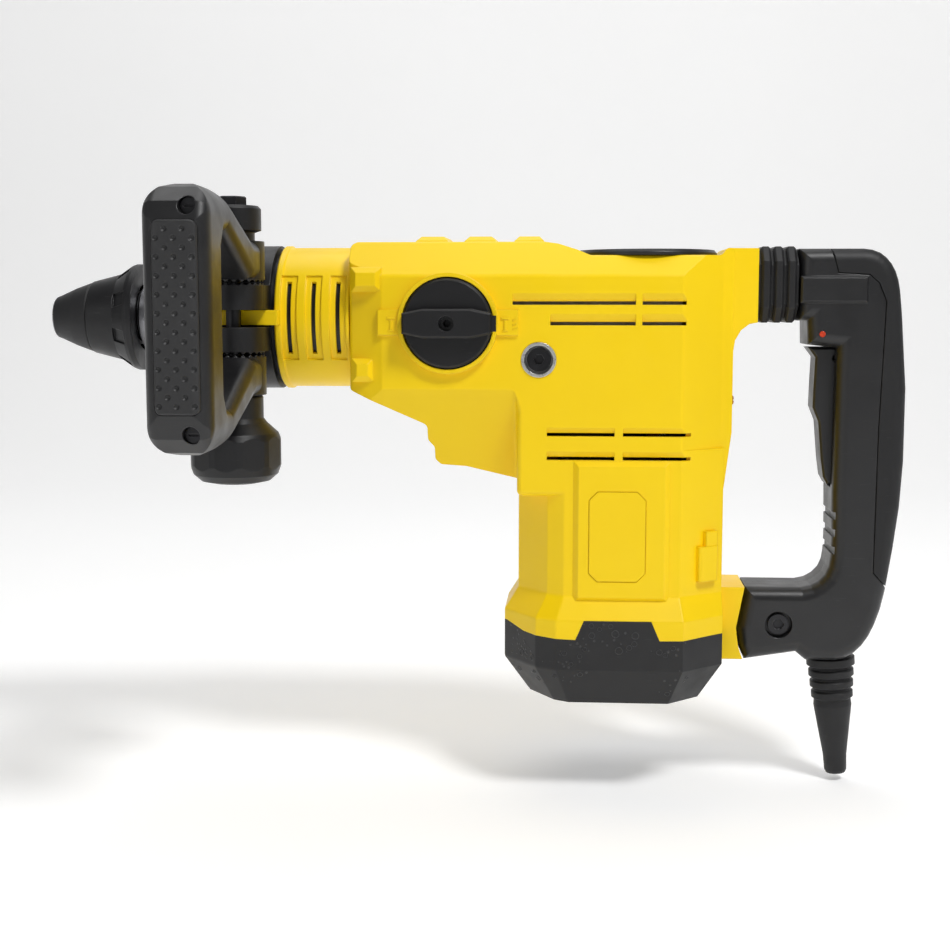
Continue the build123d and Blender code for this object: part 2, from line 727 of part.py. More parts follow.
def brush_bridge():
    """Plate across the column that holds the lower bearing and the brushes."""
    plate = plan_column(COLUMN, (-186.0, -181.0), 3.2)
    plate -= rod_z(11.0, (-200, 0), MOTOR_X)
    for side in (1, -1):
        plate -= Pos(348.0, side * 20.0, -183.5) * Box(22.0, 12.0, 10.0)
        plate -= Pos(280.0, side * 16.0, -183.5) * Box(12.0, 10.0, 10.0)
        wall = block((MOTOR_X - 8, MOTOR_X + 8), (18.0, 34.0), (-181.5, BRUSH_Z - 5.0))
        plate += flip_side(wall, side)
    return plate


def brush_holder(side):
    """Brass box that guides a carbon brush."""
    box = block((MOTOR_X - 6.0, MOTOR_X + 6.0), (17.0, 36.0), (BRUSH_Z - 5.0, BRUSH_Z + 5.0))
    box -= block((MOTOR_X - 4.0, MOTOR_X + 4.0), (10.0, 34.5), (BRUSH_Z - 3.0, BRUSH_Z + 3.0))
    return flip_side(box, side)


def carbon_brush(side):
    """Carbon block bearing on the commutator."""
    brush = block((MOTOR_X - 3.9, MOTOR_X + 3.9), (15.4, 29.0), (BRUSH_Z - 3.0, BRUSH_Z + 2.9))
    return flip_side(brush, side)


def control_module():
    """Potted speed control behind the motor."""
    body = block((345.0, 368.0), (-19.0, 19.0), (-112.0, -60.0))
    body = chamfer(body.edges().filter_by(Axis.Z), 2.0)
    fins = block((343.0, 345.2), (-16.0, 16.0), (-108.0, -104.0))
    for n in range(1, 5):
        fins += block((343.0, 345.2), (-16.0, 16.0), (-108.0 + 10 * n, -104.0 + 10 * n))
    axle = rod_y(1.6, (-9.0, 9.0), DIAL_X, DIAL_Z)
    for side in (1, -1):
        arm = side_plate([(366.0, -60.0), (368.0, -66.0), (372.0, -66.0), (377.5, DIAL_Z),
                          (372.5, DIAL_Z)], (5.0, 9.0))
        axle += flip_side(arm, side)
    return body + fins + axle


def speed_dial():
    """Thumb wheel in the rear wall."""
    wheel = rod_y(DIAL_R, (-3.0, 3.0), DIAL_X, DIAL_Z)
    for n in range(18):
        angle = math.radians(20 * n)
        wheel -= rod_y(0.55, (-4, 4), DIAL_X + (DIAL_R + 0.15) * math.cos(angle),
                       DIAL_Z + (DIAL_R + 0.15) * math.sin(angle))
    return wheel - rod_y(1.6 + RUNNING, (-10, 10), DIAL_X, DIAL_Z)


def crank_gear():
    """Crank gear, its journal and the crank disc."""
    gear = gear_blank(CRANK_TEETH, MODULE, GEAR_Z, 180 / CRANK_TEETH)
    for n in range(6):
        angle = n * math.pi / 3
        gear -= rod_z(4.2, (-50, -20), 15 * math.cos(angle), 15 * math.sin(angle))
    disc = rod_z(CRANK_R, (-18.0, -12.0), 0)
    journal = rod_z(8.0, (-46.0, -12.0), 0)
    return Pos(CRANK_X, 0, 0) * (gear + disc + journal)


def intermediate_gear():
    """Gear and bevel pinion on one shaft, driving the spindle."""
    gear = gear_blank(MIDDLE_TEETH, MODULE, GEAR_Z, 0.0)
    shaft = rod_z(5.0, (-46.0, -26.0), 0)
    body = Pos(MIDDLE_X, 0, 0) * (gear + shaft)
    pitch = BEVEL_MODULE * BEVEL_PINION_TEETH / 2
    drop = BEVEL_MODULE * BEVEL_RING_TEETH / 2
    along = Vector(-pitch, 0, -drop).normalized()
    outward = Vector(-drop, 0, pitch).normalized()
    outer = root_point(along, outward, bevel_length() + BEVEL_RIM)
    inner = root_point(along, outward, bevel_length() - BEVEL_FACE - BEVEL_RIM)
    cone = turned_z([(0, outer.Z - 3.0), (-outer.X, outer.Z - 1.5), (-outer.X, outer.Z),
                     (-inner.X, inner.Z), (0, inner.Z)], MIDDLE_X)
    teeth = bevel_teeth(BEVEL_PINION_TEETH, 0.0, (0, 0, 1), along, outward)
    return body + cone.fuse(*teeth)


# ---------------------------------------------------------------- gear housing

HOUSING_SIDE = [
    (176.8, -31.0), (176.8, 33.0), (287.0, 33.0), (300.0, 30.4),
    (371.0, 30.4), (371.0, -29.0), (364.0, -33.0),
    (364.0, -44.0), (205.0, -44.0),
]
HOUSING_PLAN = mirrored([(176.8, 35.4), (190.0, 36.0), (352.0, 36.0), (371.0, 21.0)])
HOUSING_SECTION = mirrored_first([(36.0, -44.0), (36.0, 21.0), (25.0, 33.0)])


def gear_housing():
    """Cast housing round the cylinder, the crank and the gears."""
    case = side_plate(HOUSING_SIDE, (-60, 60)) & plan_column(HOUSING_PLAN, (-60, 60))
    case &= section_bar(HOUSING_SECTION, (150, 400))
    case -= rod_x(28.5, (170, 300)) & block((170, 300), (-30, 30), (-40, 31))
    case -= rod_z(25.6, (-21.0, 50), CRANK_X)
    case -= block((295, 320), (-16, 16), (-11.0, 16.0))
    low = -45.0
    case -= rod_z(28.0, (low, -30.0), CRANK_X) + rod_z(20.6, (low, -30.0), MIDDLE_X)
    case -= rod_z(8.5, (low, -28.5), MOTOR_X)
    case -= rod_z(8.0 + RUNNING, (-60, 0), CRANK_X)
    case -= rod_z(5.0 + RUNNING, (-60, -20), MIDDLE_X)
    case -= rod_z(14.4, (-30.0, -10), MIDDLE_X)
    case -= rod_y(6.0 + RUNNING, (-60, -20), KNOB_X, KNOB_Z)
    for side in (1, -1):
        case -= rod_y(2.9, sorted((side * 31.0, side * 40.0)), BUSH_X, BUSH_Z)
    return case


def housing_floor():
    """Plate that closes the gear chamber over the motor."""
    profile = mirrored([(252.0, 30.0), (262.0, 36.0), (352.0, 36.0), (364.0, 27.0)])
    plate = plan_column(profile, (-49.0, -44.0))
    plate += rod_z(15.0, (-57.0, -48.0), MOTOR_X)
    plate -= rod_z(11.0, (-60.0, -48.0), MOTOR_X)
    plate -= rod_z(4.6, (-60, 0), MOTOR_X)
    plate -= rod_z(8.0 + RUNNING, (-46.4, 0), CRANK_X)
    return plate - rod_z(5.0 + RUNNING, (-46.4, 0), MIDDLE_X)


def rear_bearing():
    """Sleeve bearing round the back of the cylinder."""
    inner = CYLINDER_R + RUNNING
    outer = 28.5
    ring = turned_x([(282.0, inner), (282.0, outer), (290.0, outer), (290.0, inner)])
    return ring & block((280, 295), (-30, 30), (-17.6, 31))


# ---------------------------------------------------------------- controls

def mode_knob():
    """Round selector with a raised bar and an eccentric shaft."""
    disc = rod_y(KNOB_R, (-51.0, -44.2), KNOB_X, KNOB_Z)
    disc = chamfer(disc.edges().filter_by(GeomType.CIRCLE).sort_by(Axis.Y)[0], 1.2)
    bar = plan_bar()
    shaft = rod_y(6.0, (-44.4, -30.0), KNOB_X, KNOB_Z)
    knob = disc + bar + shaft
    knob -= rod_y(4.0, (-60, -52.5), KNOB_X, KNOB_Z)
    knob -= rod_y(1.9, (-60, -46.0), KNOB_X, KNOB_Z)
    return knob - block((KNOB_X + 17.4, KNOB_X + 30), (-56.3, -52.9), (KNOB_Z - 4.4, KNOB_Z + 4.4))


def plan_bar():
    """Finger bar across the selector."""
    half = 23.6
    points = [(-half, -5.4), (-half, 5.4), (-13.0, 7.6), (13.0, 7.6), (half, 5.4), (half, -5.4),
              (13.0, -7.6), (-13.0, -7.6)]
    bar = side_plate([(KNOB_X + px, KNOB_Z + pz) for px, pz in points], (-57.6, -50.0))
    return chamfer(bar.faces().sort_by(Axis.Y)[0].edges(), 1.0)


def knob_lock_tab():
    """Button in the end of the selector bar that locks it."""
    x = KNOB_X + 19.6
    return block((x, x + 6.6), (-56.1, -53.1), (KNOB_Z - 4.2, KNOB_Z + 4.2))


# ---------------------------------------------------------------- side handle

def index_teeth(z, up):
    """Ring of radial teeth round the bolt."""
    teeth = None
    for n in range(INDEX_TEETH):
        half = 1.55
        tip = z + INDEX_H * up
        ridge = section_bar([(-half, z), (half, z), (0.25, tip), (-0.25, tip)], (11.4, 16.2))
        ridge = ridge.rotate(Axis.Z, 360 / INDEX_TEETH * n)
        teeth = ridge if teeth is None else teeth + ridge
    return Pos(BOLT_X, BOLT_Y, 0) * teeth


def clamp_half(up):
    """Half of the barrel clamp with its bolt lug and hinge knuckle."""
    low, high = LUG_Z
    span = (BOLT_X - 16.5, BOLT_X + 16.5)
    band = tube_x(span, BARREL_R + 0.02, COLLAR_RIM_R)
    band &= block(span, (-60, 60), (low, 60)) + block(span, (0, 60), (0.3, 60))
    lug = rod_z(16.4, LUG_Z, BOLT_X, BOLT_Y) + block(span, (BOLT_Y, -30), LUG_Z)
    lug -= rod_x(BARREL_R + 0.02, (80, 150))
    half = band + lug + index_teeth(high - 0.02, 1)
    half -= rod_z(BOLT_R, (0, 60), BOLT_X, BOLT_Y)
    knuckle_x = (span[0], BOLT_X - 0.2) if up > 0 else (BOLT_X + 0.2, span[1])
    other_x = (BOLT_X - 0.2, span[1]) if up > 0 else (span[0], BOLT_X + 0.2)
    half -= rod_x(4.6, other_x, 42.0, 0)
    half += rod_x(4.2, knuckle_x, 42.0, 0) - rod_x(COLLAR_RIM_R - 1, (80, 150))
    half -= rod_x(2.0, (80, 150), 42.0, 0)
    return half if up > 0 else half.mirror(Plane.XY)


def clamp_pin():
    """Hinge pin of the barrel clamp."""
    return rod_x(2.0, (BOLT_X - 17.3, BOLT_X + 17.3), 42.0, 0)


def clamp_bolt():
    """Clamp bolt with its hexagon head on top."""
    head = Pos(BOLT_X, BOLT_Y, 59.0) * extrude(RegularPolygon(8.0, 6), 5.0)
    return chamfer(head.edges().group_by(Axis.Z)[-1], 0.7) + rod_z(BOLT_R, (-60.0, 59.5), BOLT_X, BOLT_Y)


def bolt_cap():
    """Spacer between the bolt head and the upper hub."""
    cap = turned_z([(0, 40.8), (12.0, 40.8), (12.0, 45.0), (15.5, 46.2), (15.5, 57.4), (14.0, 59.0),
                    (0, 59.0)], BOLT_X, BOLT_Y)
    return cap - rod_z(BOLT_R, (0, 90), BOLT_X, BOLT_Y)


D_HANDLE = [
    (-52.0, 40.5), (-70.0, 40.5), (-136.0, 62.0), (-148.0, 63.5), (-158.0, 61.5),
    (-166.5, 54.5), (-171.0, 43.0), (-171.0, -43.0), (-166.5, -54.5), (-158.0, -61.5),
    (-148.0, -63.5), (-136.0, -62.0), (-70.0, -40.5), (-52.0, -40.5), (-52.0, -20.3),
    (-72.0, -20.3), (-126.0, -42.5), (-134.0, -41.5), (-139.0, -34.0), (-139.0, 34.0),
    (-134.0, 41.5), (-126.0, 42.5), (-72.0, 20.3), (-52.0, 20.3),
]


def d_handle():
    """D-shaped handle with a hub on each side of the clamp."""
    frame = section_bar(D_HANDLE, (BOLT_X - GRIP_HALF, BOLT_X + GRIP_HALF))
    rim = frame.edges().group_by(Axis.X)
    frame = fillet(list(rim[0]) + list(rim[-1]), 6.0)
    frame &= grip_outline(0.0)
    for sign in (1, -1):
        hub = rod_z(HUB_R, HUB_Z, BOLT_X, BOLT_Y) + index_teeth(HUB_Z[0] + 0.02, -1)
        frame += hub if sign > 0 else hub.mirror(Plane.XY)
    frame -= rod_z(BOLT_R + 0.06, (-90, 90), BOLT_X, BOLT_Y)
    frame -= grip_pocket(0.0)
    for z in (52.5, -52.5):
        frame -= rod_y(4.2, (-175, -160), BOLT_X + 6, z)
        frame -= rod_y(1.9, (-161, -148), BOLT_X + 6, z)
    return frame


def grip_outline(lift):
    """Cushion-shaped space that rounds the outside of the grip."""
    half = GRIP_HALF + lift
    end = GRIP_END + lift
    form = block((BOLT_X - half, BOLT_X + half), (GRIP_OUT - lift, 0), (-end, end))
    form = fillet(form.edges().filter_by(Axis.Y), GRIP_CORNER + lift)
    front = form.faces().sort_by(Axis.Y)[0]
    return fillet(front.edges(), GRIP_ROUND + lift)


def grip_pocket(lift):
    """Space for the rubber insert on the outside of the grip."""
    pad = block((BOLT_X - 10.0, BOLT_X + 11.5), (GRIP_OUT - lift, GRIP_OUT + 4.0), (-43.0, 46.0))
    return fillet(pad.edges().filter_by(Axis.Y), 3.5)


def grip_insert():
    """Rubber insert, slightly proud of the grip and rounded like it."""
    return grip_pocket(1.0) & grip_outline(GRIP_PROUD)


def grip_screw(z):
    """Screw that holds the grip's insert carrier."""
    x = BOLT_X + 6
    head = rod_y(3.9, (-163.0, -160.0), x, z) + rod_y(1.9, (-160.1, -150.0), x, z)
    return head - block((x - 2.4, x + 2.4), (-164, -162), (z - 0.5, z + 0.5))


def clamp_knob():
    """Ten-sided knob that tightens the clamp bolt."""
    knob = turned_z([
        (0, -41.0), (14.6, -41.0), (15.2, -42.0), (15.2, -53.0), (17.0, -55.5), (23.0, -61.0),
        (24.4, -64.5), (24.4, -78.0), (22.6, -83.0), (18.5, -86.6), (12.0, -88.0), (0, -88.0),
    ], BOLT_X, BOLT_Y)
    faceted = Pos(BOLT_X, BOLT_Y, -89.0) * extrude(RegularPolygon(24.9, 10), 50.0)
    knob &= faceted
    return knob - rod_z(BOLT_R + 0.06, (-60.6, 0), BOLT_X, BOLT_Y)


# ---------------------------------------------------------------- rear handle

def handle_form(inset):
    """Whole rear handle, or its hollow when inset."""
    width = HANDLE_Y - inset
    form = side_plate(HANDLE, (-width, width), inset)
    edges = form.edges().group_by(Axis.Y)
    return fillet(list(edges[0]) + list(edges[-1]), HANDLE_ROUND - inset)


def handle_shells(form, hollow):
    """Both handle shells in one, before they are split."""
    shell = form - side_plate(PAD, (-FAR, FAR)) - hollow
    for side in (1, -1):
        rib = block((416.0, 452.0), (HANDLE_Y - 1.0, HANDLE_Y + 1.4), (8.0, 22.6))
        rib = chamfer(rib.faces().sort_by(Axis.Y)[-1].edges(), 1.2)
        shell += flip_side(rib, side)
        boss = rod_y(9.6, (7.4, 18.0), PIVOT_X, PIVOT_Z)
        shell += flip_side(boss, side)
    shell -= rod_y(BOLT_R + 0.06, (-60, 60), PIVOT_X, PIVOT_Z)
    for side in (1, -1):
        shell -= rod_y(7.5, sorted((side * 15.2, side * 30.0)), PIVOT_X, PIVOT_Z)
    shell -= block((380.0, 396.0), (-12.0, 12.0), (-182.0, -155.0))
    shell -= block((415.0, 441.0), (-TRIGGER_Y - 0.3, TRIGGER_Y + 0.3), (-93.0, -15.2))
    shell -= rod_x(6.0, (410.0, 425.0), 0, 18.0)
    shell -= rod_z(12.0, (-195.0, -180.0), 440.0)
    for n in range(3):
        z = -108.0 - 9.6 * n
        shell -= block((430.0, GROOVE_X), (-30.0, 30.0), (z - 2.0, z + 2.0))
    shell -= rod_y(1.6, (-22.0, -15.0), 428.2, -8.6)
    return shell


def pad_seam():
    """Groove round the edge of the handle's soft pad."""
    edge = side_plate(PAD, (-FAR, FAR)) - side_plate(PAD, (-FAR, FAR), SEAM)
    return edge - handle_form(SEAM_DEPTH)


def trigger():
    """Paddle trigger in the front of the grip."""
    profile = [
        (422.2, -16.0), (423.8, -18.0), (426.4, -21.5), (425.8, -39.0), (425.6, -49.0),
        (428.9, -57.0), (430.8, -78.0), (432.2, -87.5), (434.4, -91.6), (440.0, -91.6),
        (440.0, -16.0),
    ]
    body = side_plate(profile, (-TRIGGER_Y, TRIGGER_Y))
    front = body.edges().group_by(Axis.Y)
    body = chamfer(list(front[0]) + list(front[-1]), 1.2)
    return body - rod_y(2.0 + RUNNING, (-30, 30), *TRIGGER_PIVOT)



def switch_body():
    """Switch block behind the trigger."""
    body = block((451.0, 467.0), (-17.3, 17.3), (-78.0, -34.0))
    body -= block((450.0, 460.0), (-18.0, -10.0), (-80.0, -30.0))
    body -= block((450.0, 460.0), (10.0, 18.0), (-80.0, -30.0))
    return body


def indicator_lens():
    """Small power lens in the handle."""
    return rod_y(1.6, (-21.0, -17.4), 428.2, -8.6)


def bellows():
    """Rubber bellows between the cover and the handle."""
    def frame(x, grow):
        outer = block(x, (-19.5 - grow, 19.5 + grow), (-1.0 - grow, 37.0 + grow))
        return chamfer(outer.edges().filter_by(Axis.X), 8.0)
    body = frame((393.8, 415.2), -0.5)
    for low, high in ((395.2, 400.4), (402.0, 407.2), (408.8, 414.0)):
        rib = frame((low, high), 1.6)
        body += chamfer(list(rib.edges().group_by(Axis.X)[0]) + list(rib.edges().group_by(Axis.X)[-1]), 1.2)
    return body - frame((390.0, 420.0), -3.0)


def damper_rod():
    """Guide rod of the handle's vibration damper."""
    return rod_x(6.0, (384.0, 419.0), 0, 18.0) + rod_x(9.5, (418.7, 423.0), 0, 18.0)


def damper_spring():
    """Coil round the damper rod."""
    return Pos(0, 0, 18.0) * spring_x(8.4, 1.1, (394.0, 415.0), 5)


def pivot_screw():
    """Screw the rear handle swings on."""
    head = rod_y(5.7, (-19.0, -15.6), PIVOT_X, PIVOT_Z)
    shaft = rod_y(BOLT_R, (-15.8, 15.4), PIVOT_X, PIVOT_Z)
    nut = rod_y(5.7, (15.6, 19.0), PIVOT_X, PIVOT_Z) + rod_y(BOLT_R, (15.0, 15.8), PIVOT_X, PIVOT_Z)
    socket = Pos(PIVOT_X, -19.0, PIVOT_Z) * Rot(90, 0, 0) * extrude(RegularPolygon(3.3, 6), 2.2, both=True)
    return head + shaft + nut - socket


def bracket_foot():
    """Lower end of the bracket, behind the motor cap."""
    foot = side_plate(BRACKET, (-19.5, 19.5)) & block((368, 400), (-30, 30), (-200, -150))
    return foot - plan_column(SKIRT, (-210.0, -140.0), -0.4)


def pivot_tongue():
    """Lug of the cover that the pivot screw passes through."""
    tongue = block((384.0, PIVOT_X), (-7.0, 7.0), (PIVOT_Z - 8.0, PIVOT_Z + 8.0))
    tongue += rod_y(8.0, (-7.0, 7.0), PIVOT_X, PIVOT_Z)
    return tongue - rod_y(BOLT_R, (-30, 30), PIVOT_X, PIVOT_Z)


def strain_boot():
    """Ribbed strain relief where the cord leaves."""
    profile = [(2.9, -184.0), (11.8, -184.0), (11.8, -190.0), (13.4, -190.4), (13.4, -194.6),
               (11.9, -195.4)]
    for n in range(3):
        z = -197.6 - 6.2 * n
        rib = 12.6 - 0.5 * n
        profile += [(rib - 1.4, z + 1.0), (rib, z), (rib, z - 3.2), (rib - 1.4, z - 4.2)]
    profile += [(10.6, -218.0), (6.6, -247.0), (6.2, -256.0), (5.4, -257.6), (2.9, -257.6)]
    boot = turned_z(profile, 440.0)
    return boot.rotate(Axis((440.0, 0, -186.0), (0, 1, 0)), -4.0)


# ---------------------------------------------------------------- write the pieces

def both(piece):
    """The left and right solids of a matching pair."""
    return Compound(children=[piece(-1).solid(), piece(1).solid()])


def write(name, solid):
    """Write one piece."""
    export_step(solid, f"parts/{name}.step")


def main():
    cover = cover_body() - cover_openings()
    cover += housing_posts() + pivot_tongue() + bracket_foot()
    write("cover_left", cover_half(cover, -1))
    write("cover_right", cover_half(cover, 1))
    write("motor_cap", motor_cap())
    write("nameplate", nameplate())
    write("crank_cap", crank_cap())
    write("side_bushes", both(side_bush))
    write("cover_screws", both(cover_screw))
    write("brush_covers", both(brush_cover))
    write("brush_holders", both(brush_holder))
    write("carbon_brushes", both(carbon_brush))
    write("locking_rollers", both(locking_roller))
    write("barrel_housing", barrel_housing())
    write("barrel_collar", barrel_collar())
    write("spindle", spindle())
    write("dust_cap", dust_cap())
    write("lock_sleeve", lock_sleeve())
    write("sleeve_spring", spring_x(14.4, 0.9, (39.2, 51.8), 4))
    write("ring_gear", ring_gear())
    write("spindle_bearings", Compound(children=[front_bearing().solid(), rear_bearing().solid()]))
    write("piston", piston())
    write("wrist_pin", wrist_pin())
    write("connecting_rod", connecting_rod())
    write("crank_pin", crank_pin())
    write("striker", striker())
    write("impact_bolt", impact_bolt())
    write("armature_shaft", armature_shaft())
    write("armature_core", armature_core())
    write("commutator", commutator())
    write("cooling_fan", fan())
    write("stator", stator())
    upper = shaft_bearing((-57.0, -49.0), 11.0, 6.0)
    lower = shaft_bearing((-199.0, -191.0), 11.0, 4.5)
    write("motor_bearings", Compound(children=[upper.solid(), lower.solid()]))
    write("brush_bridge", brush_bridge())
    write("control_module", control_module())
    write("speed_dial", speed_dial())
    write("crank_gear", crank_gear())
    write("intermediate_gear", intermediate_gear())
    write("gear_housing", gear_housing())
    write("housing_floor", housing_floor())
    write("mode_knob", mode_knob())
    write("knob_lock_tab", knob_lock_tab())
    write("clamp_upper", clamp_half(1))
    write("clamp_lower", clamp_half(-1))
    write("clamp_pin", clamp_pin())
    write("clamp_bolt", clamp_bolt())
    write("bolt_cap", bolt_cap())
    write("d_handle", d_handle())
    write("grip_insert", grip_insert())
    write("grip_screws", Compound(children=[grip_screw(52.5).solid(), grip_screw(-52.5).solid()]))
    write("clamp_knob", clamp_knob())
    form = handle_form(0.0)
    hollow = handle_form(HANDLE_WALL)
    shells = handle_shells(form, hollow)
    write("handle_left", shells & block((300, 500), (-90, 0), (-300, 100)))
    write("handle_right", shells & block((300, 500), (0, 90), (-300, 100)))
    write("handle_pad", (form & side_plate(PAD, (-FAR, FAR))) - hollow - pad_seam())
    write("trigger", trigger())
    write("switch_body", switch_body())
    write("indicator_lens", indicator_lens())
    write("handle_bellows", bellows())
    write("damper_rod", damper_rod())
    write("damper_spring", damper_spring())
    write("pivot_screw", pivot_screw())
    write("strain_boot", strain_boot())


main()
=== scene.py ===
import json
import math
import random

import bmesh
import bpy
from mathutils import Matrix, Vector
from mathutils.bvhtree import BVHTree
from mathutils.noise import noise as noise_at


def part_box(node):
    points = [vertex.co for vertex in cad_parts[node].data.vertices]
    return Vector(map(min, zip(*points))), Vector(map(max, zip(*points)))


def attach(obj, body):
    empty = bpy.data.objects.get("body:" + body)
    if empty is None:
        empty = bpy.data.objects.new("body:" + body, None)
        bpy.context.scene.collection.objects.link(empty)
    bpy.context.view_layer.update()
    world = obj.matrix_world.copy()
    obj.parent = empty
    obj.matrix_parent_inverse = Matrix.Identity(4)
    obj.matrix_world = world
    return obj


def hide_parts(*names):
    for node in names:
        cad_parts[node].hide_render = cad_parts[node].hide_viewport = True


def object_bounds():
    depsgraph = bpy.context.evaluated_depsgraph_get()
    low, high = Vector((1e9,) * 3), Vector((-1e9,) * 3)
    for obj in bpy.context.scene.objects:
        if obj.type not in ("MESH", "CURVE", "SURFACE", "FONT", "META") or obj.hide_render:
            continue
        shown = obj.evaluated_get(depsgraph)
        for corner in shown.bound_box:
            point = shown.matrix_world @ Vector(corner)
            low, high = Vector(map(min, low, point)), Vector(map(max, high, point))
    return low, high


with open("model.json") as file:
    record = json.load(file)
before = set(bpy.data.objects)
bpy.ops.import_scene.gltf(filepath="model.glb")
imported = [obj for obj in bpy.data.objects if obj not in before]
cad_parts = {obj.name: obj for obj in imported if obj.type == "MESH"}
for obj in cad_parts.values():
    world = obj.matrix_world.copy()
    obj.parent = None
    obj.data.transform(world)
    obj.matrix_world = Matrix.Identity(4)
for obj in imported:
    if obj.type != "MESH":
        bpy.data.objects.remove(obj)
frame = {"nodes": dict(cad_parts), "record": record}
cad_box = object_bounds()
nodes = frame["nodes"]
MM = 0.001


# ------------------------------------------------------------ shader helpers

class Shader:
    """A node material being put together."""

    def __init__(self, name):
        self.material = bpy.data.materials.new(name)
        self.material.use_nodes = True
        self.tree = self.material.node_tree
        self.tree.nodes.clear()
        self.output = self.add("OutputMaterial")
        self.surface = self.add("BsdfPrincipled")
        self.link(self.surface, "BSDF", self.output, "Surface")
        self.place = self.add("TexCoord")

    def add(self, kind, **settings):
        """New shader node, with its settings."""
        node = self.tree.nodes.new("ShaderNode" + kind)
        for key, value in settings.items():
            setattr(node, key, value)
        return node

    def link(self, source, out, target, socket):
        """Join one node's output to another's input."""
        self.tree.links.new(source.outputs[out], target.inputs[socket])

    def noise(self, scale, detail=2.0, stretch=None):
        """Noise in the object's own metres, stretched if asked."""
        node = self.add("TexNoise")
        node.inputs["Scale"].default_value = scale
        node.inputs["Detail"].default_value = detail
        if stretch is None:
            self.link(self.place, "Object", node, "Vector")
            return node
        mapping = self.add("Mapping")
        mapping.inputs["Scale"].default_value = stretch
        self.link(self.place, "Object", mapping, "Vector")
        self.link(mapping, "Vector", node, "Vector")
        return node

    def spread(self, source, out, low, high, new_low, new_high):
        """Map part of a value's range to another range."""
        node = self.add("MapRange")
        node.inputs["From Min"].default_value = low
        node.inputs["From Max"].default_value = high
        node.inputs["To Min"].default_value = new_low
        node.inputs["To Max"].default_value = new_high
        self.link(source, out, node, "Value")
        return node

    def maths(self, operation, first, first_out, second, second_out=None):
        """Arithmetic on a value and a second value or a plain number."""
        node = self.add("Math", operation=operation)
        self.link(first, first_out, node, 0)
        if second_out is None:
            node.inputs[1].default_value = second
        else:
            self.link(second, second_out, node, 1)
        return node

    def mix(self, factor, factor_out, first, second):
        """Mix of two colours, each a node's colour or a plain one."""
        node = self.add("Mix", data_type="RGBA")
        self.link(factor, factor_out, node, 0)
        for socket, value in ((6, first), (7, second)):
            if isinstance(value, tuple):
                node.inputs[socket].default_value = value + (1.0,)
            else:
                self.tree.links.new(value.outputs[2], node.inputs[socket])
        return node

    def soft_normal(self, radius):
        """Normal with the part's sharp edges rounded."""
        bevel = self.add("Bevel", samples=6)
        bevel.inputs["Radius"].default_value = radius
        return bevel

    def edge_mask(self, bevel, rough_noise):
        """1 along edges and 0 on flats, broken up by noise."""
        geometry = self.add("NewGeometry")
        dot = self.add("VectorMath", operation="DOT_PRODUCT")
        self.link(bevel, "Normal", dot, 0)
        self.link(geometry, "Normal", dot, 1)
        edge = self.spread(dot, "Value", 0.86, 0.985, 1.0, 0.0)
        patch = self.spread(rough_noise, "Fac", 0.38, 0.62, 0.0, 1.0)
        return self.maths("MULTIPLY", edge, "Result", patch, "Result")

    def bump(self, source, out, strength, distance, normal):
        """Small relief laid over a normal."""
        node = self.add("Bump")
        node.inputs["Strength"].default_value = strength
        node.inputs["Distance"].default_value = distance
        self.link(source, out, node, "Height")
        self.link(normal, "Normal", node, "Normal")
        return node


def moulded(name, colour, shade, worn, rough, grain, depth, edge, wear=0.5, specular=0.42):
    """Moulded plastic or rubber with a spark-eroded grain and rubbed edges."""
    s = Shader(name)
    cloud = s.noise(16.0, 4.0)
    patch = s.noise(70.0, 3.0)
    fine = s.noise(grain, 3.0)
    scuff = s.noise(120.0, 5.0, (1.0, 1.0, 9.0))
    tone = s.spread(cloud, "Fac", 0.3, 0.7, 0.0, 1.0)
    base = s.mix(tone, "Result", colour, shade)
    bevel = s.soft_normal(edge)
    mask = s.edge_mask(bevel, patch)
    light = s.maths("MULTIPLY", mask, "Value", wear)
    rubbed = s.mix(light, "Value", base, worn)
    lines = s.spread(scuff, "Fac", 0.66, 0.74, 0.0, 0.35 * wear)
    finish = s.mix(lines, "Result", rubbed, worn)
    s.tree.links.new(finish.outputs[2], s.surface.inputs["Base Color"])
    gloss = s.spread(patch, "Fac", 0.3, 0.7, rough - 0.06, rough + 0.07)
    polished = s.maths("MULTIPLY", mask, "Value", -0.12)
    total = s.maths("ADD", gloss, "Result", polished, "Value")
    s.link(total, "Value", s.surface, "Roughness")
    first = s.bump(fine, "Fac", 0.35, depth, bevel)
    second = s.bump(patch, "Fac", 0.08, depth * 2, first)
    s.link(second, "Normal", s.surface, "Normal")
    s.surface.inputs["IOR"].default_value = 1.5
    s.surface.inputs["Specular IOR Level"].default_value = specular
    return s.material


def metal(name, colour, shade, rough, brush, edge, stretch=(1.0, 1.0, 1.0), metallic=1.0):
    """Machined or cast metal with brush marks, stains and bright edges."""
    s = Shader(name)
    cloud = s.noise(30.0, 4.0)
    lines = s.noise(brush, 4.0, stretch)
    tone = s.spread(cloud, "Fac", 0.3, 0.7, 0.0, 1.0)
    base = s.mix(tone, "Result", colour, shade)
    bevel = s.soft_normal(edge)
    mask = s.edge_mask(bevel, lines)
    bright = tuple(min(1.0, 1.5 * c + 0.08) for c in colour)
    finish = s.mix(mask, "Value", base, bright)
    s.tree.links.new(finish.outputs[2], s.surface.inputs["Base Color"])
    s.surface.inputs["Metallic"].default_value = metallic
    gloss = s.spread(lines, "Fac", 0.3, 0.7, rough - 0.08, rough + 0.1)
    s.link(gloss, "Result", s.surface, "Roughness")
    first = s.bump(lines, "Fac", 0.25, 0.05 * MM, bevel)
    s.link(first, "Normal", s.surface, "Normal")
    return s.material


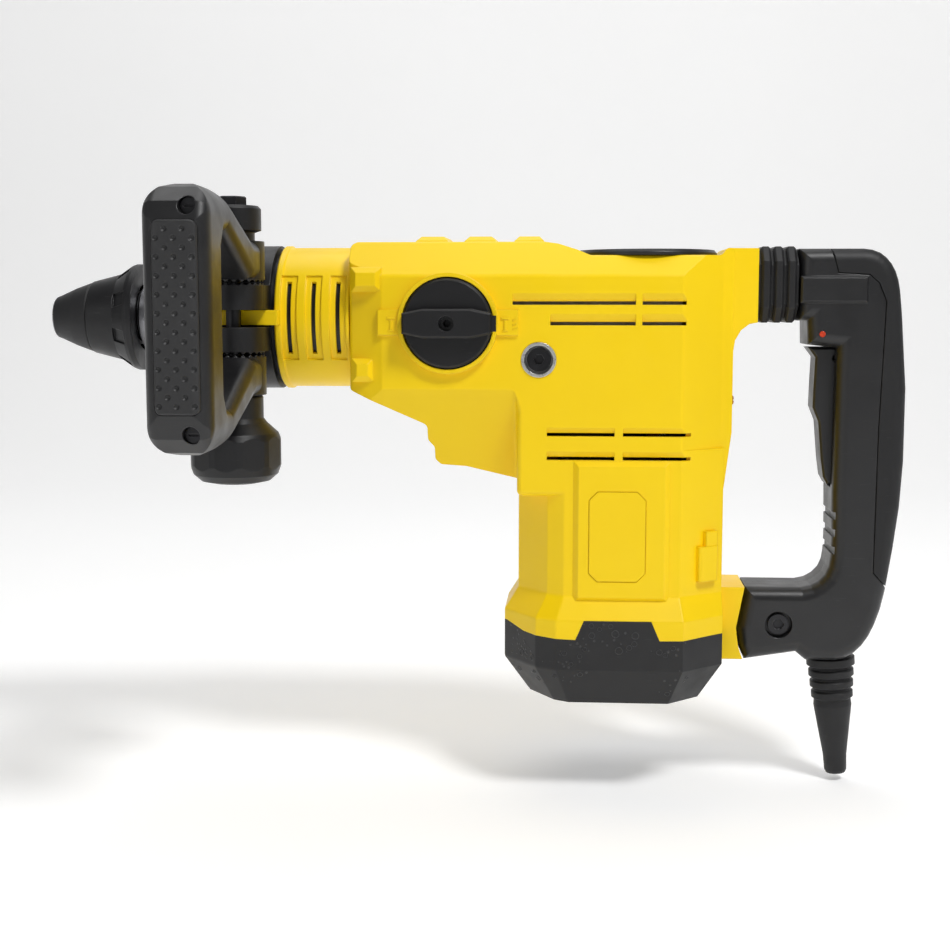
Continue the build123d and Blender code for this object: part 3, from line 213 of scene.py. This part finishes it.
def stacked(name, colour, shade, pitch):
    """Stack of thin electrical steel sheets."""
    s = Shader(name)
    wave = s.add("TexWave", wave_type="BANDS", bands_direction="Z")
    wave.inputs["Scale"].default_value = pitch
    wave.inputs["Distortion"].default_value = 0.4
    s.link(s.place, "Object", wave, "Vector")
    cloud = s.noise(60.0, 3.0)
    base = s.mix(wave, "Fac", colour, shade)
    stain = s.mix(s.spread(cloud, "Fac", 0.5, 0.8, 0.0, 0.5), "Result", base, (0.16, 0.09, 0.05))
    s.tree.links.new(stain.outputs[2], s.surface.inputs["Base Color"])
    s.surface.inputs["Metallic"].default_value = 0.8
    gloss = s.spread(cloud, "Fac", 0.3, 0.7, 0.4, 0.6)
    s.link(gloss, "Result", s.surface, "Roughness")
    bump = s.bump(wave, "Fac", 0.6, 0.1 * MM, s.soft_normal(0.4 * MM))
    s.link(bump, "Normal", s.surface, "Normal")
    return s.material


def lens(name, colour, shade, painted_glow):
    """Clear coloured plastic with a faint inner texture and a painted glow in its own colour."""
    s = Shader(name)
    cells = s.add("TexVoronoi")
    cells.inputs["Scale"].default_value = 900.0
    s.link(s.place, "Object", cells, "Vector")
    tone = s.spread(cells, "Distance", 0.0, 0.8, 0.0, 1.0)
    base = s.mix(tone, "Result", colour, shade)
    s.tree.links.new(base.outputs[2], s.surface.inputs["Base Color"])
    # Painted glow: emission in the plastic's own colour lights it from within, with no lamp
    # behind it.
    s.surface.inputs["Emission Color"].default_value = colour + (1.0,)
    s.surface.inputs["Emission Strength"].default_value = painted_glow
    cloud = s.noise(200.0)
    gloss = s.spread(cloud, "Fac", 0.3, 0.7, 0.15, 0.28)
    s.link(gloss, "Result", s.surface, "Roughness")
    bump = s.bump(cells, "Distance", 0.2, 0.05 * MM, s.soft_normal(0.4 * MM))
    s.link(bump, "Normal", s.surface, "Normal")
    return s.material


FINE = 0.04 * MM
finishes = {
    "yellow_abs": moulded("yellow_abs", (0.975, 0.675, 0.003), (0.955, 0.65, 0.003),
                          (0.98, 0.72, 0.05), 0.38, 1500.0, FINE, 0.9 * MM, wear=0.3,
                          specular=0.3),
    "black_abs": moulded("black_abs", (0.010, 0.010, 0.011), (0.007, 0.007, 0.008),
                         (0.060, 0.060, 0.062), 0.38, 1700.0, 2.2 * FINE, 0.8 * MM,
                         specular=0.55),
    "black_nylon": moulded("black_nylon", (0.007, 0.007, 0.008), (0.005, 0.005, 0.006),
                           (0.060, 0.060, 0.060), 0.42, 1300.0, 2.6 * FINE, 0.7 * MM),
    "grey_abs": moulded("grey_abs", (0.014, 0.014, 0.015), (0.011, 0.011, 0.012),
                        (0.08, 0.08, 0.08), 0.45, 1600.0, 1.5 * FINE, 0.6 * MM),
    "rubber": moulded("rubber", (0.009, 0.009, 0.010), (0.012, 0.012, 0.013),
                      (0.055, 0.055, 0.055), 0.52, 1000.0, 2.0 * FINE, 0.8 * MM),
    "soft_pad": moulded("soft_pad", (0.013, 0.013, 0.014), (0.018, 0.018, 0.019),
                        (0.05, 0.05, 0.05), 0.52, 1000.0, 1.5 * FINE, 0.06 * MM,
                        specular=0.6),
    # fine_relief is a lighter grey than the dark motor cap its beads are moulded on: painted
    # highlight, standing in for the light their raised tops catch.
    "fine_relief": moulded("fine_relief", (0.038, 0.038, 0.040), (0.028, 0.028, 0.030),
                           (0.06, 0.06, 0.062), 0.38, 1700.0, FINE, 0.03 * MM, specular=0.5),
    "carbon": moulded("carbon", (0.010, 0.010, 0.011), (0.006, 0.006, 0.007),
                      (0.05, 0.05, 0.05), 0.5, 2500.0, FINE, 0.2 * MM),
    "black_metal": metal("black_metal", (0.045, 0.045, 0.048), (0.03, 0.03, 0.032),
                         0.36, 700.0, 0.5 * MM, metallic=0.85),
    "steel": metal("steel", (0.60, 0.60, 0.61), (0.50, 0.50, 0.52), 0.30, 900.0, 0.3 * MM,
                   (1.0, 12.0, 12.0)),
    "gear_steel": metal("gear_steel", (0.42, 0.42, 0.44), (0.33, 0.33, 0.35), 0.34, 800.0,
                        0.25 * MM),
    "zinc": metal("zinc", (0.70, 0.70, 0.68), (0.60, 0.60, 0.57), 0.32, 500.0, 0.4 * MM),
    "casting": metal("casting", (0.52, 0.52, 0.53), (0.42, 0.42, 0.44), 0.52, 260.0, 0.8 * MM),
    "copper": metal("copper", (0.80, 0.36, 0.17), (0.62, 0.25, 0.11), 0.33, 1200.0, 0.3 * MM),
    "brass": metal("brass", (0.80, 0.60, 0.25), (0.68, 0.48, 0.18), 0.32, 900.0, 0.3 * MM),
    "laminations": stacked("laminations", (0.30, 0.30, 0.31), (0.12, 0.12, 0.13), 320.0),
    "amber": lens("amber", (0.45, 0.16, 0.015), (0.30, 0.09, 0.01), 0.0),
    # The red lens is given a faint painted glow.
    "red_lens": lens("red_lens", (0.60, 0.06, 0.02), (0.42, 0.03, 0.01), 0.15),
}
slot_of = {row["node"]: row["material_slot"] for row in frame["record"]["subparts"]}
# Painted shade: these small steel parts sit deep in recesses and gaps, so they get the dark metal
# finish in place of bare metal to stand in for the shade that falls there.
shade_darkened = {"cover_screws", "pivot_screw", "grip_screws", "clamp_bolt", "sleeve_spring",
             "locking_rollers"}
for name, piece in nodes.items():
    for place in piece.material_slots:
        place.material = finishes["black_metal" if name in shade_darkened else slot_of[name]]


# ------------------------------------------------------------ stage

PAPER_GLOW = 0.27
FLOOR_DROP = 0.004
AIM = Vector((0.2388, 0.0, -0.0890))
DISTANCE = 0.860
YAW = math.radians(4.1)
PITCH = math.radians(6.6)
LENS = 57.4
SENSOR = 36.0
SOFT_BOXES = (
    ("key", 28.0, 0.5, (1.1, -1.0, 1.6)),
    ("fill", 3.0, 1.0, (-1.1, -1.5, 0.5)),
    ("top", 9.0, 1.2, (0.1, 0.5, 1.6)),
)
AMBIENT_GREY = 0.9
AMBIENT_STRENGTH = 0.26


def studio_surface(name, colour, scale):
    """Matt paper with a barely visible mottle."""
    s = Shader(name)
    cloud = s.noise(scale, 3.0)
    base = s.mix(s.spread(cloud, "Fac", 0.3, 0.7, 0.0, 1.0), "Result", colour,
                 tuple(0.985 * c for c in colour))
    s.tree.links.new(base.outputs[2], s.surface.inputs["Base Color"])
    s.surface.inputs["Roughness"].default_value = 0.9
    s.surface.inputs["Specular IOR Level"].default_value = 0.1
    s.surface.inputs["Emission Color"].default_value = (1.0, 1.0, 1.0, 1.0)
    s.surface.inputs["Emission Strength"].default_value = PAPER_GLOW
    return s.material


def backdrop():
    """Floor that curves up into a wall behind the tool."""
    front, foot, radius, top, half, steps = -2.4, 1.2, 0.8, 2.6, 3.6, 12
    level = cad_box[0].z - FLOOR_DROP
    line = [(front, 0.0), (foot, 0.0)]
    for n in range(1, steps + 1):
        a = math.pi / 2 * n / steps
        line.append((foot + radius * math.sin(a), radius - radius * math.cos(a)))
    line.append((foot + radius, top))
    mesh = bmesh.new()
    rows = []
    for y, z in line:
        rows.append([mesh.verts.new((x, y, level + z)) for x in (-half, half)])
    for low, high in zip(rows, rows[1:]):
        face = mesh.faces.new((low[0], low[1], high[1], high[0]))
        face.smooth = True
    paper = studio_surface("studio_paper", (0.86, 0.86, 0.86), 3.0)
    return finish_mesh(mesh, "backdrop", paper)


def finish_mesh(mesh, name, material):
    """Turn a bmesh into an object in the scene."""
    bmesh.ops.recalc_face_normals(mesh, faces=mesh.faces)
    data = bpy.data.meshes.new(name)
    mesh.to_mesh(data)
    mesh.free()
    piece = bpy.data.objects.new(name, data)
    bpy.context.scene.collection.objects.link(piece)
    data.materials.append(material)
    return piece


def soft_light(name, energy, size, place):
    """Large soft box aimed at the tool."""
    data = bpy.data.lights.new(name, "AREA")
    data.energy = energy
    data.shape = "DISK"
    data.size = size
    light = bpy.data.objects.new(name, data)
    light.location = place
    light.rotation_euler = (AIM - Vector(place)).to_track_quat("-Z", "Y").to_euler()
    bpy.context.scene.collection.objects.link(light)


def camera():
    """Camera at the product shot's angle, slightly above and behind the middle."""
    data = bpy.data.cameras.new("camera")
    data.lens = LENS
    data.sensor_width = SENSOR
    eye = bpy.data.objects.new("camera", data)
    forward = Vector((-math.sin(YAW) * math.cos(PITCH), math.cos(YAW) * math.cos(PITCH),
                      -math.sin(PITCH)))
    eye.location = AIM - forward * DISTANCE
    eye.rotation_euler = forward.to_track_quat("-Z", "Y").to_euler()
    bpy.context.scene.collection.objects.link(eye)
    bpy.context.scene.camera = eye


def ambient():
    """Even grey light from all sides."""
    world = bpy.data.worlds.new("studio")
    world.use_nodes = True
    background = world.node_tree.nodes["Background"]
    background.inputs["Color"].default_value = (AMBIENT_GREY, AMBIENT_GREY, AMBIENT_GREY, 1.0)
    background.inputs["Strength"].default_value = AMBIENT_STRENGTH
    bpy.context.scene.world = world


floor = backdrop()
camera()
for box in SOFT_BOXES:
    soft_light(*box)
ambient()
bpy.context.scene.view_settings.view_transform = "Standard"


# ------------------------------------------------------------ added pieces

SUNK = 0.08 * MM
MARK_FRONT = -47.75 * MM
MARK_BACK = -47.2 * MM
MARK_BEVEL = 0.15 * MM


def smooth_step(value):
    """Ease from 0 to 1."""
    value = max(0.0, min(1.0, value))
    return value * value * (3.0 - 2.0 * value)


def grip_pad():
    """Rounded rubber insert with staggered pits on the side handle's grip."""
    low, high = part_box("grip_insert")
    grip_low, grip_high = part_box("d_handle")
    axis = (grip_low.x + grip_high.x) / 2
    middle, level = (low.x + high.x) / 2, (low.z + high.z) / 2
    half, long = (high.x - low.x) / 2 - 0.1 * MM, (high.z - low.z) / 2 - 0.1 * MM
    flat, bend, corner, rim, step = 6.0 * MM, 10.8 * MM, 3.4 * MM, 1.0 * MM, 0.3 * MM
    pit, pit_depth, lip = 1.35 * MM, 1.0 * MM, 0.12 * MM
    pitch, spacing, columns, rows = 8.5 * MM, 4.1 * MM, 5, 10
    pits = []
    for column in range(columns):
        for row in range(rows):
            z = level + (row - (rows - 1) / 2 + (0.25 if column % 2 else -0.25)) * pitch
            pits.append((middle + (column - (columns - 1) / 2) * spacing, z))
    across, along = int(2 * half / step), int(2 * long / step)
    mesh = bmesh.new()
    front, back = [], []
    for j in range(along + 1):
        z = level - long + 2 * long * j / along
        past = max(0.0, abs(z - level) - (long - corner))
        width = half - corner + math.sqrt(max(0.0, corner ** 2 - past ** 2))
        front_row, back_row = [], []
        for i in range(across + 1):
            x = middle + width * (2 * i / across - 1)
            inset = min(width - abs(x - middle), long - abs(z - level))
            off = max(0.0, abs(x - axis) - flat)
            y = low.y + bend - math.sqrt(bend ** 2 - off ** 2)
            y += 0.8 * MM * (1.0 - smooth_step(inset / rim)) ** 2
            for px, pz in pits:
                far = math.hypot(x - px, z - pz) / pit
                if far < 1.6:
                    y += pit_depth * math.sqrt(max(0.0, 1.0 - far ** 2))
                    y -= lip * math.exp(-((far - 1.15) / 0.2) ** 2)
            front_row.append(mesh.verts.new((x, max(y, low.y), z)))
            back_row.append(mesh.verts.new((x, high.y - 0.3 * MM, z)))
        front.append(front_row)
        back.append(back_row)
    close_shell(mesh, front, back)
    pad = finish_mesh(mesh, "grip_pad", finishes["soft_pad"])
    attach(pad, "side_handle")
    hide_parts("grip_insert")


def close_shell(mesh, front, back):
    """Faces of two grids of corners and of the rim between them."""
    along, across = len(front) - 1, len(front[0]) - 1
    for j in range(along):
        for i in range(across):
            for grid, order in ((front, 1), (back, -1)):
                corners = [grid[j][i], grid[j][i + 1], grid[j + 1][i + 1], grid[j + 1][i]]
                mesh.faces.new(corners[::order]).smooth = True
    for j in range(along):
        for i in (0, across):
            mesh.faces.new((front[j][i], front[j + 1][i], back[j + 1][i], back[j][i]))
    for i in range(across):
        for j in (0, along):
            mesh.faces.new((front[j][i], front[j][i + 1], back[j][i + 1], back[j][i]))


def surface_of(name):
    """Ray-casting tree of a CAD node."""
    data = nodes[name].data
    corners = [v.co.copy() for v in data.vertices]
    return BVHTree.FromPolygons(corners, [tuple(p.vertices) for p in data.polygons])


def raised_ring(mesh, spot, normal, profile, count):
    """Closed solid of revolution standing on a surface."""
    turn = normal.to_track_quat("Z", "Y")
    rings = []
    for radius, height in profile:
        if radius == 0.0:
            rings.append([mesh.verts.new(spot + turn @ Vector((0, 0, height)))])
            continue
        ring = []
        for n in range(count):
            a = 2 * math.pi * n / count
            ring.append(mesh.verts.new(
                spot + turn @ Vector((radius * math.cos(a), radius * math.sin(a), height))))
        rings.append(ring)
    for low, high in zip(rings, rings[1:]):
        for n in range(count):
            m = (n + 1) % count
            if len(high) == 1:
                face = mesh.faces.new((low[n], low[m], high[0]))
            else:
                face = mesh.faces.new((low[n], low[m], high[m], high[n]))
            face.smooth = True
    return rings


def lies_flat(tree, spot, normal, radius):
    """Whether the surface is flat under a small disc."""
    turn = normal.to_track_quat("Z", "Y")
    for n in range(8):
        a = math.pi / 4 * n
        probe = spot + turn @ Vector((math.cos(a), math.sin(a), 0.0)) * radius * 1.25
        near, facing, _face, _far = tree.ray_cast(probe + normal * 2 * MM, -normal)
        if near is None or facing.dot(normal) < 0.998 or (near - probe).length > 0.06 * MM:
            return False
    return True


def relief_ring(mesh, spot, normal, radius):
    """Low open ring."""
    count = 20
    profile = ((radius, -SUNK), (0.95 * radius, 0.12 * MM), (0.86 * radius, 0.20 * MM),
               (0.77 * radius, 0.12 * MM), (0.72 * radius, -SUNK))
    rings = raised_ring(mesh, spot, normal, profile, count)
    for n in range(count):
        m = (n + 1) % count
        mesh.faces.new((rings[-1][n], rings[-1][m], rings[0][m], rings[0][n]))


def relief_bead(mesh, spot, normal, radius):
    """Low round bead."""
    profile = ((radius, -SUNK), (0.85 * radius, 0.05 * MM), (0.5 * radius, 0.12 * MM),
               (0.0, 0.14 * MM))
    rings = raised_ring(mesh, spot, normal, profile, 12)
    mesh.faces.new(rings[0][::-1])


def cap_droplets():
    """Moulded rings and beads scattered over the motor cap's sides."""
    tries, ring_share, reach, edge_gap = 1500, 0.35, 0.2, 0.4 * MM
    draw = random.Random(11)
    tree = surface_of("motor_cap")
    low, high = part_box("motor_cap")
    middle = (low + high) / 2
    mesh = bmesh.new()
    taken = []
    for _ in range(tries):
        angle = draw.uniform(0.0, 2 * math.pi)
        z = low.z + (high.z - low.z) * draw.uniform(0.12, 1.0)
        big = draw.random() < ring_share
        radius = draw.uniform(1.2, 2.3) * MM if big else draw.uniform(0.4, 0.9) * MM
        out = Vector((math.cos(angle), math.sin(angle), 0.0))
        start = Vector((middle.x, middle.y, z)) + out * reach
        slide = Vector((-out.y, out.x, 0.0)) * draw.uniform(-0.05, 0.05)
        spot, normal, _face, _far = tree.ray_cast(start + slide, -out)
        if spot is None or normal.dot(out) < 0.3 or abs(normal.z) > 0.75:
            continue
        if spot.y > cad_box[1].y - edge_gap:
            continue
        if any((spot - p).length < radius + r for p, r in taken):
            continue
        if noise_at(spot * 45.0) < draw.uniform(0.02, 0.35):
            continue
        if not lies_flat(tree, spot, normal, radius):
            continue
        taken.append((spot, radius))
        if big:
            relief_ring(mesh, spot, normal, radius)
        else:
            relief_bead(mesh, spot, normal, radius)
    # The beads take the lighter fine_relief grey as a painted highlight.
    beads = finish_mesh(mesh, "cap_beads", finishes["fine_relief"])
    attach(beads, "body")


def prism(mesh, outline, front, back, bevel):
    """Plate drawn in X and Z with a bevelled front, between two Y planes."""
    count = len(outline)
    middle = Vector((sum(x for x, z in outline) / count, 0.0, sum(z for x, z in outline) / count))
    loops = []
    for y, shrink in ((back, 0.0), (front + bevel, 0.0), (front, bevel)):
        loop = []
        for x, z in outline:
            arm = Vector((x, 0.0, z)) - middle
            arm *= max(0.1, 1.0 - shrink / max(arm.length, 1e-6))
            loop.append(mesh.verts.new((middle.x + arm.x, y, middle.z + arm.z)))
        loops.append(loop)
    for low, high in zip(loops, loops[1:]):
        for n in range(count):
            m = (n + 1) % count
            mesh.faces.new((low[n], low[m], high[m], high[n]))
    mesh.faces.new(loops[-1])
    mesh.faces.new(loops[0][::-1])


def bar(cx, cz, width, height, angle=0.0):
    """Corners of a small rectangle in millimetres, as metres."""
    c, s = math.cos(angle), math.sin(angle)
    corners = ((-width / 2, -height / 2), (width / 2, -height / 2), (width / 2, height / 2),
               (-width / 2, height / 2))
    return [((cx + c * x - s * z) * MM, (cz + s * x + c * z) * MM) for x, z in corners]


def mode_marks():
    """Plain hammer and drill symbols embossed on the pads beside the selector."""
    knob_low, knob_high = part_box("mode_knob")
    level = (knob_low.z + knob_high.z) / 2 / MM
    middle = (knob_low.x + knob_high.x) / 2 / MM
    reach = 30.5
    mesh = bmesh.new()
    for side, turns in ((-1, 0), (1, 3)):
        x = middle + side * reach
        shapes = [bar(x, level + 2.6, 4.6, 1.3), bar(x, level - 0.8, 1.3, 5.2),
                  bar(x, level - 3.9, 3.0, 0.8)]
        for n in range(turns):
            shapes.append(bar(x + 5.2, level + 2.2 - 2.4 * n, 2.8, 0.9, 0.5))
        for shape in shapes:
            prism(mesh, shape, MARK_FRONT, MARK_BACK, MARK_BEVEL)
    symbols = finish_mesh(mesh, "mode_symbols", finishes["yellow_abs"])
    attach(symbols, "body")


def knob_pointer():
    """Small triangle on the selector's bar that points at the mode."""
    low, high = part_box("mode_knob")
    x, z = (low.x + high.x) / 2 + 14.6 * MM, (low.z + high.z) / 2
    mesh = bmesh.new()
    outline = [(x - 1.7 * MM, z - 1.6 * MM), (x + 2.1 * MM, z), (x - 1.7 * MM, z + 1.6 * MM)]
    prism(mesh, outline, low.y + 0.02 * MM, low.y + 0.3 * MM, 0.12 * MM)
    pointer = finish_mesh(mesh, "mode_pointer", finishes["carbon"])
    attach(pointer, "knob_group")


grip_pad()
cap_droplets()
mode_marks()
knob_pointer()
